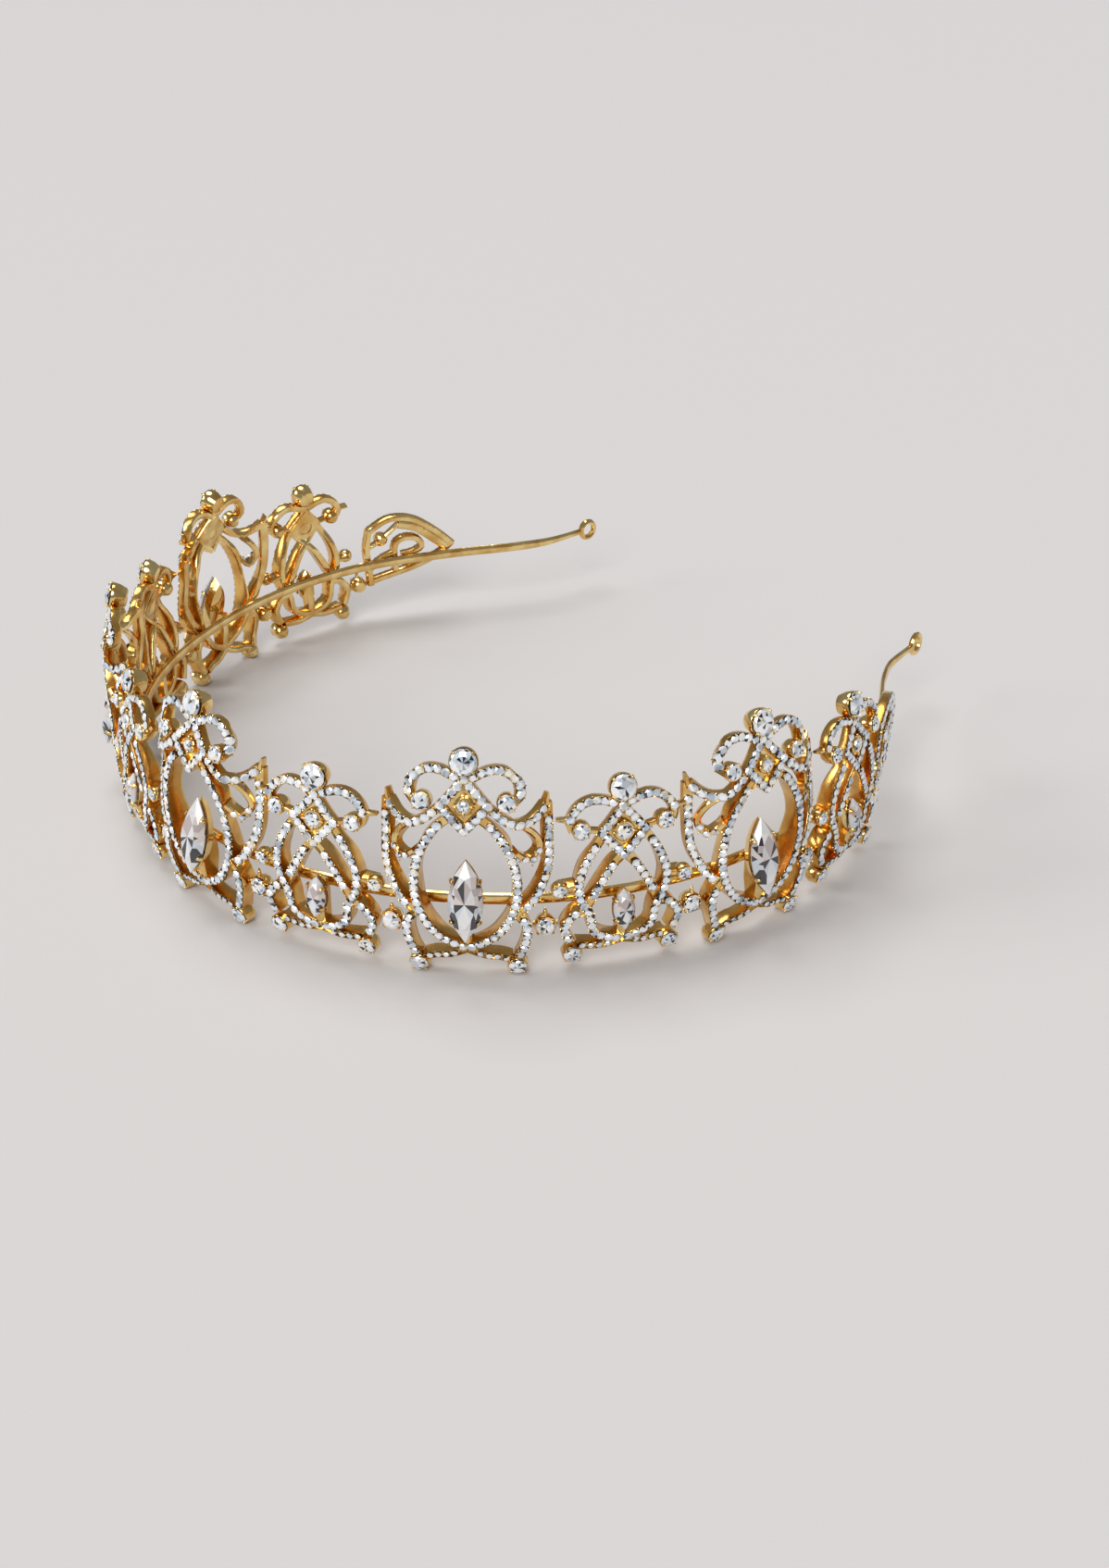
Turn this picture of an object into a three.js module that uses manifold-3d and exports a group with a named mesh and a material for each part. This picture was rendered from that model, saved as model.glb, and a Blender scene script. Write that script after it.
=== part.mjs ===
// A bridal tiara: a springy gilt headband with thirteen openwork castings soldered round its outside,
// a claw-set marquise crystal in each of eleven of them, a round chaton on each crest, and a round
// chaton linking each casting to the next. Millimetres, +Z up, the middle of the front towards -Y.
import * as THREE from 'three';
import { mergeVertices } from 'three/addons/utils/BufferGeometryUtils.js';
import Module from 'manifold-3d';

// ---- Driving dimensions ----
const faceRadius = 72.5;          // radius of the upright cylinder that the castings' fronts follow
const motifPitch = 24.75;         // along that cylinder, from the middle of one casting to the next
const crestEachSide = 5;          // crested castings each side of the middle one; a leaf ends each side
const tallHeight = 38.9;          // board to the centre of a tall casting's top chaton
const shortHeight = 33.1;         // the same on a short casting
const clearance = 0.3;            // gap between two pieces that solder, claws or a seat hold together

const ribWidth = 1.5;             // front of a rib, wide enough for one row of small stones
const backSet = 1.6;              // the castings' backs at the band, inside the face cylinder
const ribDepth = 2.8;             // depth of a rib above and below the band
const bandZone = 3;               // height each side of the band's middle where a rib is full depth
const bandBlend = 4;              // height over which it thins beyond that
const thinnest = 1.7;             // depth of a rib in the crest, or where the front falls far back
const crestBelow = 13;            // ribs start to thin this far below a crest's top chaton
const crestBlend = 4;             // height over which they reach the thinnest
const bossBite = 0.15;            // how far the boss in a diamond reaches into its frame
const ribStep = 4.6;              // longest straight stretch in a curved rib
const finialWidth = 0.9;          // gold point on top of a leaf
const bladeWidth = 2.2;           // the end leaf's blade, wide enough for a second row of stones

const bandHeight = 2.1;
const bandThickness = 1.1;
const bandLevel = 12.4;           // middle of the band at the front, above the board
const bandTailRise = 1.6;         // how much higher its ends run
const bandStep = 7.0;             // straight stretches of the band
const tailNeck = 1.3;             // band height where it meets the eyelet
const eyeletRadius = 2.5;
const eyeletHole = 1.2;           // radius
const eyeletThickness = 1.3;

const topStoneRadius = 2.15;
const linkStoneRadius = 1.65;
const scrollStoneRadius = 1.35;
const dropStoneRadius = 1.5;
const sideStoneRadius = 1.15;
const cupWall = 0.35;
const chatonDepth = 3.2;
const chatonProud = 0.7;          // a top chaton's rim, in front of the rib that carries it
const crestLean = 16;             // lean back of the top chatons, degrees
const linkDepth = 2.6;
const linkLevel = 8.9;            // height of the chatons between castings
const linkProud = 0.8;            // their rims, in front of the face cylinder
const linkArm = 1.1;              // width of the arms that reach the castings' feet
const footReach = 9.5;            // how far a tall casting's foot spreads from its middle
const stoneDome = 0.9;            // height of a round stone above its cup's rim

const largeCrystal = { halfLength: 6.9, halfWidth: 2.8, crown: 1.5, pavilion: 1.9 };
const smallCrystal = { halfLength: 3.6, halfWidth: 1.8, crown: 1.0, pavilion: 1.3 };
const settingWall = 0.3;
const clawWidth = 0.8;
const clawThickness = 0.7;
const clawRise = 0.5;             // above the crystal's edge
const clawFoot = 0.5;             // height of the foot that joins a claw to the cup
const clawInset = 0.35;           // how far that foot reaches in under the crystal's edge
const clawSpread = 0.5;           // claws' distance from the middle, as a part of the half length
const settingRim = -0.6;          // level of the cup's rim, under the crystal's edge
const largeCrystalPlace = { height: 15.0, proud: 2.65, lean: 13 };   // lean back, degrees
const smallCrystalPlace = { height: 11.6, proud: 2.0, lean: 10 };
const seatWidth = 2.0;            // tongue of the casting that the setting sits on

// Outlines are drawn for this pitch and these crest heights, and follow the real ones.
const drawnPitch = 24.75;
const drawnTall = 38.9;
const drawnShort = 33.1;

// Facets of the round pieces.
const cupSides = 8;
const chatonSides = 10;
const marquiseSides = 12;

const gold = { color: 0xd9a441, metalness: 1.0, roughness: 0.22 };
const crystal = { color: 0xe8eef2, metalness: 0.0, roughness: 0.03 };

const wasm = await Module();
wasm.setup();

// ---- Solids ----
function solidFrom(geometry) {
  const bare = geometry.index ? geometry.toNonIndexed() : geometry.clone();
  bare.deleteAttribute('normal');
  bare.deleteAttribute('uv');
  const merged = mergeVertices(bare, 1e-4);
  return new wasm.Manifold(new wasm.Mesh({
    numProp: 3,
    vertProperties: merged.attributes.position.array,
    triVerts: new Uint32Array(merged.index.array),
  }));
}

function geometryFrom(solid) {
  const mesh = solid.getMesh();
  const geometry = new THREE.BufferGeometry();
  geometry.setAttribute('position', new THREE.BufferAttribute(mesh.vertProperties, 3));
  geometry.setIndex(new THREE.BufferAttribute(mesh.triVerts, 1));
  return geometry;
}

function joined(geometries) {
  return geometries.map(solidFrom).reduce((whole, next) => whole.add(next));
}

function reshape(geometry, move) {
  const position = geometry.attributes.position;
  for (let i = 0; i < position.count; i++) {
    position.setXYZ(i, ...move(position.getX(i), position.getY(i), position.getZ(i)));
  }
  return geometry;
}

function named(name, geometry, finish) {
  geometry.computeVertexNormals();
  const mesh = new THREE.Mesh(geometry, new THREE.MeshStandardMaterial(finish));
  mesh.name = name;
  return mesh;
}

// ---- Ribs: flat ribbons of metal, drawn with x along the front and y up ----
// A flat casting is drawn one unit deep, and that unit becomes its real depth when it is bent.
function offsetLine(points, distance) {
  return points.map((point, i) => {
    const before = points[Math.max(i - 1, 0)];
    const after = points[Math.min(i + 1, points.length - 1)];
    const along = new THREE.Vector2().subVectors(after, before).normalize();
    return new THREE.Vector2(point.x - along.y * distance, point.y + along.x * distance);
  });
}

function smoothLine(corners, step) {
  const curve = new THREE.SplineCurve(corners.map(([x, y]) => new THREE.Vector2(x, y)));
  return curve.getSpacedPoints(Math.max(1, Math.ceil(curve.getLength() / step)));
}

function ribbon(points, width) {
  const left = offsetLine(points, width / 2);
  const right = offsetLine(points, -width / 2).reverse();
  const outline = new THREE.Shape([...right, ...left]);
  const geometry = new THREE.ExtrudeGeometry(outline, { depth: 1, steps: 1, bevelEnabled: false });
  return geometry.translate(0, 0, -1);
}

const rib = (corners, width = ribWidth) => ribbon(smoothLine(corners, ribStep), width);

// A diamond-shaped frame of ribs with mitred corners, its centre line through the corners.
function diamondFrame([side], [, top], [, bottom]) {
  const middle = (top + bottom) / 2;
  const [across, up] = [side, (top - bottom) / 2];
  const growth = ribWidth / 2 * Math.hypot(1 / across, 1 / up);
  const corners = (scale) => [[1, 0], [0, 1], [-1, 0], [0, -1]]
    .map(([x, y]) => new THREE.Vector2(x * across * scale, middle + y * up * scale));
  const outline = new THREE.Shape(corners(1 + growth));
  outline.holes.push(new THREE.Path(corners(1 - growth)));
  const geometry = new THREE.ExtrudeGeometry(outline, { depth: 1, steps: 1, bevelEnabled: false });
  return geometry.translate(0, 0, -1);
}

function mirrored(geometry) {
  const copy = (geometry.index ? geometry.toNonIndexed() : geometry.clone()).scale(-1, 1, 1);
  const position = copy.attributes.position;
  for (let i = 0; i < position.count; i += 3) {
    const swap = [position.getX(i), position.getY(i), position.getZ(i)];
    position.setXYZ(i, position.getX(i + 1), position.getY(i + 1), position.getZ(i + 1));
    position.setXYZ(i + 1, ...swap);
  }
  return copy;
}

const bothSides = (geometries) => geometries.flatMap((half) => [half, mirrored(half)]);

// The boss that fills a diamond's middle: it just reaches the ribs of the frame round it.
function diamondBoss([side], [, top], [, bottom]) {
  const up = (top - bottom) / 2;
  const radius = side * up / Math.hypot(side, up) - ribWidth / 2 + bossBite;
  return castCup(0, (top + bottom) / 2, radius - cupWall);
}

// A closed cup cast in one with the ribs, with its stone's dome on top.
function castCup(x, y, stoneRadius) {
  const radius = stoneRadius + cupWall;
  const profile = [[0, -1], [radius, -1], [radius, stoneDome / 2], [0, stoneDome]]
    .map(([r, h]) => new THREE.Vector2(r, h));
  return new THREE.LatheGeometry(profile, cupSides).rotateX(Math.PI / 2).translate(x, y, 0);
}

// ---- Places on the cylinder ----
const stepAngle = motifPitch / faceRadius;

// Bends a flat casting round the cylinder. Its front stands proud by relief(x, y), and its depth runs
// square to that front: back to the band at the band's height, less above and below it, and least
// above crestFrom. The band has left its circle by bandOut(x).
function bent(geometry, angle, relief, crestFrom = Infinity, bandOut = () => 0) {
  const near = 1;                 // slopes are read this far to each side
  return reshape(geometry, (x, y, z) => {
    const proud = relief(x, y);
    const across = (relief(x + near, y) - relief(x - near, y)) / (2 * near);
    const up = Math.min(0, (relief(x, y + near) - relief(x, y - near)) / (2 * near));
    const full = Math.max(proud + backSet - bandOut(x), thinnest);
    const away = THREE.MathUtils.clamp((Math.abs(y - bandLevel) - bandZone) / bandBlend, 0, 1);
    const crested = THREE.MathUtils.clamp((y - crestFrom) / crestBlend, 0, 1);
    const usual = THREE.MathUtils.lerp(full, Math.min(full, ribDepth), away);
    const depth = THREE.MathUtils.lerp(usual, thinnest, crested);
    const inward = z * (z < 0 ? depth : 1) / Math.hypot(1, across, up);
    const turn = angle + (x - across * inward) / faceRadius;
    const radius = faceRadius + proud + inward;
    return [radius * Math.sin(turn), -radius * Math.cos(turn), y - up * inward];
  });
}

// Sets a piece made about its own origin, facing +Z with +Y up, against the cylinder.
function setOnFace(geometry, angle, height, proud, lean = 0) {
  const radius = faceRadius + proud;
  return geometry
    .rotateX(Math.PI / 2 - THREE.MathUtils.degToRad(lean))
    .rotateZ(angle)
    .translate(radius * Math.sin(angle), -radius * Math.cos(angle), height);
}

// Straight-line reading of a table of [height, value].
function readTable(table, height) {
  const above = table.findIndex(([level]) => level > height);
  if (above === 0) return table[0][1];
  if (above < 0) return table[table.length - 1][1];
  const [low, high] = [table[above - 1], table[above]];
  return low[1] + (high[1] - low[1]) * (height - low[0]) / (high[0] - low[0]);
}

// ---- Castings ----
const wide = motifPitch / drawnPitch;

const tallBulge = [[1, 0.7], [5, 1.7], [9, 2.2], [28, 2.3], [32, 1.7], [35, 0.6], [37.5, 0], [40, -0.6]];
const leafEdge = 8;               // the leaves fall back outside this line
const leafFall = 3.4;             // how far their tips fall back
function tallRelief(x, y) {
  const height = y * drawnTall / tallHeight;
  const out = THREE.MathUtils.clamp((Math.abs(x) / wide - leafEdge) / 5, 0, 1);
  const up = THREE.MathUtils.clamp((height - 8) / 18, 0, 1);
  return readTable(tallBulge, height) - leafFall * out * up;
}

const shortBulge = [[2, 0.5], [6, 1.2], [9, 1.5], [23, 1.5], [27, 1.0], [30, 0.2], [34, -0.4]];
const shortRelief = (x, y) => readTable(shortBulge, y * drawnShort / shortHeight);

const dropRadius = dropStoneRadius + cupWall;
const tall = (corners) => corners.map(([x, y]) => [x * wide, y * tallHeight / drawnTall]);
const short = (corners) => corners.map(([x, y]) => [x * wide, y * shortHeight / drawnShort]);
const tallDrop = [7.9 * wide, dropRadius];
const shortDrop = [8.1 * wide, 3.4 * shortHeight / drawnShort];
const onDrop = ([x, y], right, up) => [x + right, y + up];
const leafOuter = 13.0;           // furthest the tall leaf reaches at the height of the short scroll
const tieGap = 0.4;               // from a tie to that leaf

function tallCasting() {
  const half = [
    rib(tall([[0.6, 35.8], [3.5, 37.2], [5.6, 37.4], [7.3, 36.6], [8.6, 34.9], [8.6, 33.2], [7.2, 32.3]])),
    rib(tall([[3.9, 31.5], [6.5, 29.3], [9.6, 28.5], [11.6, 29.3], [12.9, 30.6]])),
    rib(tall([[12.6, 29.8], [13.2, 32.3]]), finialWidth),
    rib(tall([[13.0, 30.6], [13.1, 25.1], [12.8, 19.6], [10.6, 14.8], [7.8, 12.2]])),
    rib(tall([[9.0, 28.2], [10.9, 26.0], [11.8, 23.6], [10.2, 21.7], [7.9, 23.6]]), finialWidth),
    rib(tall([[2.3, 29.9], [4.6, 27.8], [7.0, 23.2], [8.0, 17.6], [7.2, 12.4], [4.4, 8.0], [0, 5.5]])),
    rib([...tall([[7.6, 12.6], [9.1, 10.7], [footReach, 8.6], [9.0, 6.0]]), onDrop(tallDrop, 0.1, 1.35)]),
    rib([onDrop(tallDrop, -1, 1.2), ...tall([[5.2, 3.7], [3.0, 4.0], [0, 5.3]])]),
    castCup(...tall([[6.5, 32.4]])[0], scrollStoneRadius),
    castCup(...tallDrop, dropStoneRadius),
  ];
  const corners = tall([[3.7, 31.8], [0, 35.9], [0, 27.7]]);
  const stem = rib(tall([[0, 39.0], [0, 35.4]]));
  const seat = rib(tall([[0, 5.5], [0, 13.6]]), seatWidth);
  return [...bothSides(half), diamondFrame(...corners), diamondBoss(...corners), stem, seat];
}

function shortCasting() {
  const tieEnd = motifPitch - leafOuter * wide - ribWidth / 2 - tieGap;
  // The side stones hang below the bellies of the neighbours' leaves, so they follow the tall castings.
  const arm = tall([[6.8, 16.4], [10.2, 16.0]]);
  const half = [
    rib(short([[0.6, 30.1], [3.2, 31.0], [5.2, 31.1], [7.2, 30.1], [8.5, 28.2], [8.0, 26.4]])),
    rib([...short([[8.3, 28.2]]), [tieEnd, 28.4 * shortHeight / drawnShort]], finialWidth),
    rib(short([[6.8, 26.5], [3.6, 25.9]]), finialWidth),
    rib(short([
      [3.4, 25.2], [5.7, 21.5], [7.1, 17.3], [6.8, 13.9], [5.4, 11.0], [4.8, 7.8], [2.8, 6.2], [0, 5.5],
    ])),
    rib(short([[0.2, 21.6], [1.9, 19.7], [3.9, 16.3], [5.9, 12.4]])),
    rib(arm, finialWidth),
    rib([...short([[5.4, 11.6], [7.8, 11.2], [9.4, 8.6]]), onDrop(shortDrop, 0.3, 2.2)]),
    rib([onDrop(shortDrop, -0.6, 1.6), ...short([[5.2, 4.7], [3.0, 4.6], [0, 5.3]])]),
    castCup(...short([[6.8, 26.5]])[0], scrollStoneRadius),
    castCup(...arm[1], sideStoneRadius),
    castCup(...shortDrop, dropStoneRadius),
  ];
  const corners = short([[3.6, 25.7], [0, 29.8], [0, 21.6]]);
  const stem = rib(short([[0, 33.2], [0, 29.3]]));
  const seat = rib(short([[0, 5.5], [0, 12.4]]), seatWidth);
  return [...bothSides(half), diamondFrame(...corners), diamondBoss(...corners), stem, seat];
}

// The leaf that ends each side, its tip towards the tail of the band.
function endLeaf() {
  const wider = (corners) => corners.map(([x, y]) => [x * wide, y]);
  return [
    rib(wider([[-9.6, 21.2], [-5.4, 23.3], [-1.8, 23.5], [1.4, 22.6], [4.2, 20.9], [7.4, 18.3], [9.9, 15.9]])),
    rib(wider([[-2.4, 22.2], [1.0, 21.2], [3.7, 19.5], [6.5, 17.2], [8.6, 15.4]]), bladeWidth),
    rib(wider([[9.8, 16.3], [7.3, 14.2], [3.6, 12.5], [-0.6, 11.2], [-4.6, 10.4], [-9.2, 9.5]])),
    rib(wider([[-9.4, 21.6], [-10.2, 17.0], [-9.8, 12.6], [-9.5, 8.6]])),
    rib(wider([[-2.0, 14.6], [1.0, 15.0], [2.9, 16.4], [1.4, 18.3], [-1.6, 18.6], [-3.5, 16.8], [-3.4, 11.2]])),
    rib(wider([[-9.7, 12.4], [-6.4, 14.4], [-3.6, 15.4]])),
    castCup(-6.6 * wide, 19.0, scrollStoneRadius),
    rib(wider([[-9.8, 17.4], [-6.6, 19.0], [-2.4, 22.2]]), finialWidth),
  ];
}

// ---- Stones in settings of their own ----
// A claw-set chaton: closed cup behind, faceted dome in front. Extra grows it into its clearance.
function chaton(stoneRadius, depth, extra = 0, sides = chatonSides) {
  const radius = stoneRadius + cupWall + extra;
  const profile = [
    [0, -depth - extra],
    [radius * 0.72, -depth - extra],
    [radius, -depth * 0.45],
    [radius, extra],
    [stoneRadius * 0.55 + extra, stoneDome + extra],
    [0, stoneDome + extra],
  ].map(([r, h]) => new THREE.Vector2(r, h));
  return new THREE.LatheGeometry(profile, sides).rotateX(Math.PI / 2);
}

// Turns a lathe of the marquise's half-width into the marquise: two arcs that meet in points.
function toMarquise(rows, stretch) {
  const profile = rows.map(([r, h]) => new THREE.Vector2(r, h));
  const arcRadius = (1 + stretch * stretch) / 2;
  const turned = new THREE.LatheGeometry(profile, marquiseSides).rotateX(Math.PI / 2);
  return reshape(turned, (x, y, z) => {
    const radius = Math.hypot(x, y);
    if (radius < 1e-6) return [0, 0, z];
    const back = (arcRadius - 1) * Math.abs(x) / radius;
    const reach = Math.sqrt(back * back + 2 * arcRadius - 1) - back;
    return [x * reach, y * reach, z];
  });
}

function marquiseCrystal(stone) {
  return toMarquise([
    [0, -stone.pavilion],
    [stone.halfWidth * 0.72, -0.6],
    [stone.halfWidth, -0.15],
    [stone.halfWidth, 0.15],
    [stone.halfWidth * 0.5, stone.crown],
    [0, stone.crown],
  ], stone.halfLength / stone.halfWidth);
}

// The marquise's edge at a distance along it: how far out it is, and its slope there.
function marquiseEdge(stone, along) {
  const arc = (stone.halfLength ** 2 + stone.halfWidth ** 2) / (2 * stone.halfWidth);
  return [Math.sqrt(arc * arc - along * along) - arc + stone.halfWidth, Math.asin(along / arc)];
}

// A boat-shaped cup with a closed back, its rim under the crystal's edge, and two claws each side that
// rise past that edge.
function marquiseSetting(stone) {
  const stretch = stone.halfLength / stone.halfWidth;
  const inner = stone.halfWidth * 0.89;
  const outer = inner + settingWall;
  const floor = -stone.pavilion - clearance;
  const cup = toMarquise([
    [0, floor - settingWall],
    [outer * 0.75, floor - settingWall],
    [outer, settingRim],
    [inner, settingRim],
    [inner * 0.7, floor],
    [0, floor],
  ], stretch);
  const clawTop = stone.crown * 0.3 + clawRise;
  const along = stone.halfLength * clawSpread;
  const [edge, slope] = marquiseEdge(stone, along);
  const claws = [-1, 1].flatMap((side) => [-1, 1].flatMap((end) => {
    const post = new THREE.BoxGeometry(clawThickness, clawWidth, clawTop - settingRim + clawFoot)
      .translate(clearance + clawThickness / 2, 0, (clawTop + settingRim - clawFoot) / 2);
    const footLength = clearance + clawThickness / 2 + clawInset;
    const foot = new THREE.BoxGeometry(footLength, clawWidth, clawFoot)
      .translate(footLength / 2 - clawInset, 0, settingRim - clawFoot / 2 - 0.05);
    return [post, foot].map((box) => (side > 0 ? box : box.rotateZ(Math.PI))
      .rotateZ(side * end * slope)
      .translate(side * edge, end * along, 0));
  }));
  return joined([cup, ...claws]);
}

// The setting's place, filled in and grown by the clearance, to cut out of the casting.
function settingPlace(stone) {
  const grown = stone.halfWidth * 0.92 + 2 * clearance + clawThickness;
  const back = stone.pavilion + 2 * clearance + settingWall;
  const length = stone.halfLength + 2 * clearance;
  return toMarquise([
    [0, -back],
    [grown * 0.85, -back],
    [grown, stone.crown + 1],
    [0, stone.crown + 1],
  ], length / grown);
}

// ---- Headband ----
const lastAngle = (crestEachSide + 1) * stepAngle;
const bandRadius = faceRadius - backSet - clearance - bandThickness / 2;
// Past the middle of the end leaf the band leaves its circle: [along the band, outward].
const tailRun = [[4.6, 0.1], [10, 0.6], [17.5, 1.6], [23.6, 3.0], [29.1, 5.5], [32.7, 8.7], [36.4, 13.5]];

function bandLine() {
  const count = 2 * Math.floor(bandRadius * lastAngle / bandStep) + 1;
  const arc = [];
  for (let i = 0; i <= count; i++) {
    const turn = -lastAngle + 2 * lastAngle * i / count;
    arc.push(new THREE.Vector2(bandRadius * Math.sin(turn), -bandRadius * Math.cos(turn)));
  }
  const tail = tailRun.map(([along, out]) => {
    const turn = lastAngle + along / bandRadius;
    const radius = bandRadius + out;
    return new THREE.Vector2(radius * Math.sin(turn), -radius * Math.cos(turn));
  });
  const opposite = tail.map((point) => new THREE.Vector2(-point.x, point.y)).reverse();
  return [...opposite, ...arc, ...tail];
}

function bandRise(x, y) {
  const turn = Math.atan2(Math.abs(x), -y);
  return bandTailRise * THREE.MathUtils.smoothstep(turn, lastAngle * 0.5, lastAngle);
}

function headband() {
  const line = bandLine();
  const strip = ribbon(line, bandThickness).translate(0, 0, 0.5);
  reshape(strip, (x, y, z) => {
    const out = Math.hypot(x, y) - bandRadius;
    const narrowing = THREE.MathUtils.clamp((out - 2) / 10, 0, 1);
    const height = THREE.MathUtils.lerp(bandHeight, tailNeck, narrowing);
    return [x, y, bandLevel + bandRise(x, y) + z * height];
  });
  const end = line[line.length - 1];
  const before = line[line.length - 2];
  const heading = Math.atan2(end.y - before.y, end.x - before.x);
  const eyelets = [1, -1].map((side) => {
    const ring = new THREE.Shape().absarc(0, 0, eyeletRadius, 0, 2 * Math.PI);
    ring.holes.push(new THREE.Path().absarc(0, 0, eyeletHole, 0, 2 * Math.PI));
    const plate = new THREE.ExtrudeGeometry(ring, {
      depth: eyeletThickness, steps: 1, bevelEnabled: false, curveSegments: 7,
    });
    const reach = eyeletRadius - (eyeletRadius - eyeletHole) / 2;
    return plate
      .translate(reach, 0, -eyeletThickness / 2)
      .rotateX(Math.PI / 2)
      .rotateZ(side > 0 ? heading : Math.PI - heading)
      .translate(side * end.x, end.y, bandLevel + bandRise(end.x, end.y));
  });
  return joined([strip, ...eyelets]);
}

// ---- Assembly ----
const assembly = new THREE.Group();
const sideName = (index) => (index === 0 ? 'C' : (index < 0 ? 'L' : 'R') + Math.abs(index));

assembly.add(named('headband', geometryFrom(headband()), gold));

// Chatons between castings, each with an arm to the foot of the casting on either side.
const footEdge = footReach * wide + ribWidth / 2;
const linkPlace = (index) => (index - 0.5) * stepAngle;
for (let index = -crestEachSide; index <= crestEachSide + 1; index++) {
  const reach = motifPitch / 2 - footEdge - clearance;
  const arms = new THREE.BoxGeometry(2 * reach, linkArm, linkArm).translate(0, 0, -linkArm);
  const cup = chaton(linkStoneRadius, linkDepth, 0, cupSides);
  const solid = joined([cup, arms]);
  const placed = setOnFace(geometryFrom(solid), linkPlace(index), linkLevel, linkProud);
  const name = index <= 0 ? `link_chaton_L${1 - index}` : `link_chaton_R${index}`;
  assembly.add(named(name, placed, crystal));
}

for (let index = -crestEachSide; index <= crestEachSide; index++) {
  const isTall = index % 2 === 0;
  const angle = index * stepAngle;
  const side = sideName(index);
  const size = isTall ? 'large' : 'small';
  const stone = isTall ? largeCrystal : smallCrystal;
  const seat = isTall ? largeCrystalPlace : smallCrystalPlace;
  const crest = isTall ? tallHeight : shortHeight;
  const relief = isTall ? tallRelief : shortRelief;
  const growth = isTall ? tallHeight / drawnTall : shortHeight / drawnShort;

  const onSeat = (geometry) => setOnFace(geometry, angle, seat.height * growth, seat.proud, seat.lean);
  const crestProud = relief(0, crest) + chatonProud;
  const onCrest = (geometry) => setOnFace(geometry, angle, crest, crestProud, crestLean);

  const flat = joined(isTall ? tallCasting() : shortCasting());
  const crestFrom = crest - crestBelow;
  const casting = solidFrom(bent(geometryFrom(flat), angle, relief, crestFrom))
    .subtract(solidFrom(onCrest(chaton(topStoneRadius, chatonDepth, clearance))))
    .subtract(solidFrom(onSeat(settingPlace(stone))));

  assembly.add(named(`${isTall ? 'tall' : 'short'}_motif_${side}`, geometryFrom(casting), gold));
  assembly.add(named(`top_chaton_${side}`, onCrest(chaton(topStoneRadius, chatonDepth)), crystal));
  assembly.add(named(`${size}_crystal_setting_${side}`, onSeat(geometryFrom(marquiseSetting(stone))), gold));
  assembly.add(named(`${size}_crystal_${side}`, onSeat(marquiseCrystal(stone)), crystal));
}

// The leaves bend out with the band's tails.
const tailOut = (x) => readTable([[0, 0], ...tailRun], x * bandRadius / faceRadius);
for (const side of [-1, 1]) {
  const parts = side > 0 ? endLeaf() : endLeaf().map(mirrored);
  const out = (x) => tailOut(side * x);
  const leaf = bent(geometryFrom(joined(parts)), side * lastAngle, out, Infinity, out);
  assembly.add(named(`end_leaf_${side > 0 ? 'R' : 'L'}`, leaf, gold));
}

// Origin: under the middle of the whole piece's box, on the board it stands on.
const box = new THREE.Box3().setFromObject(assembly);
const middle = box.getCenter(new THREE.Vector3());
assembly.position.set(-middle.x, -middle.y, -box.min.z);
const tiara = new THREE.Group();
tiara.add(assembly);
export default tiara;
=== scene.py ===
import math
import random

import bmesh
import bpy
from mathutils import Matrix, Vector
from mathutils.geometry import interpolate_bezier


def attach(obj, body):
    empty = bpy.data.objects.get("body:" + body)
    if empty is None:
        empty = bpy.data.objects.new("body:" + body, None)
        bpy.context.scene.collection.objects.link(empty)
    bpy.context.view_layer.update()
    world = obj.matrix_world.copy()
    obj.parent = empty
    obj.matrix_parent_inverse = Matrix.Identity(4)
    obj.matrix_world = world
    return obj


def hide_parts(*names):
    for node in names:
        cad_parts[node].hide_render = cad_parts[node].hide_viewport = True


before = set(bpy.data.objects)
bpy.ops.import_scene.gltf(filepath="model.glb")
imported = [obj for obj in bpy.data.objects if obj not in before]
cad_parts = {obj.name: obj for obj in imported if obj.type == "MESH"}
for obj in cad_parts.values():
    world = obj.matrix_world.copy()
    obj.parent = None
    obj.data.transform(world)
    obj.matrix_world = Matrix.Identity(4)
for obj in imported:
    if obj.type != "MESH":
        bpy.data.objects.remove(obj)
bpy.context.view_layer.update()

# ---- The headband ----
# A half-round strip of polished gilt brass, 2.1 mm tall, open at the back. Its two tails swing
# outwards, narrow, and end in a thick ring that lies in the tail's own upright plane. Sizes are in
# millimetres until a piece is finished.

ring_centre_y = 1.408
face_radius = 72.5
motif_pitch = 24.75
crest_each_side = 5
step_angle = motif_pitch / face_radius
last_angle = (crest_each_side + 1) * step_angle
back_set = 1.6
band_height = 2.1
band_thickness = 1.1
band_level = 12.4
band_tail_rise = 1.6
tail_neck = 1.3
band_radius = face_radius - back_set - 0.3 - band_thickness / 2
band_middle_count = 121
tail_run = [(0, 0), (4.6, 0.1), (10, 0.6), (17.5, 1.6), (23.6, 3.0), (29.1, 5.5), (32.7, 8.7), (36.4, 13.5)]
eyelet_middle = 1.85
eyelet_wire = 0.65


def table_value(table, at):
    for (low, low_value), (high, high_value) in zip(table, table[1:]):
        if at < high:
            share = max(0.0, (at - low) / (high - low))
            return low_value + (high_value - low_value) * share
    return table[-1][1]


def smoothstep(value, low, high):
    share = min(max((value - low) / (high - low), 0.0), 1.0)
    return share * share * (3 - 2 * share)


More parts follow.
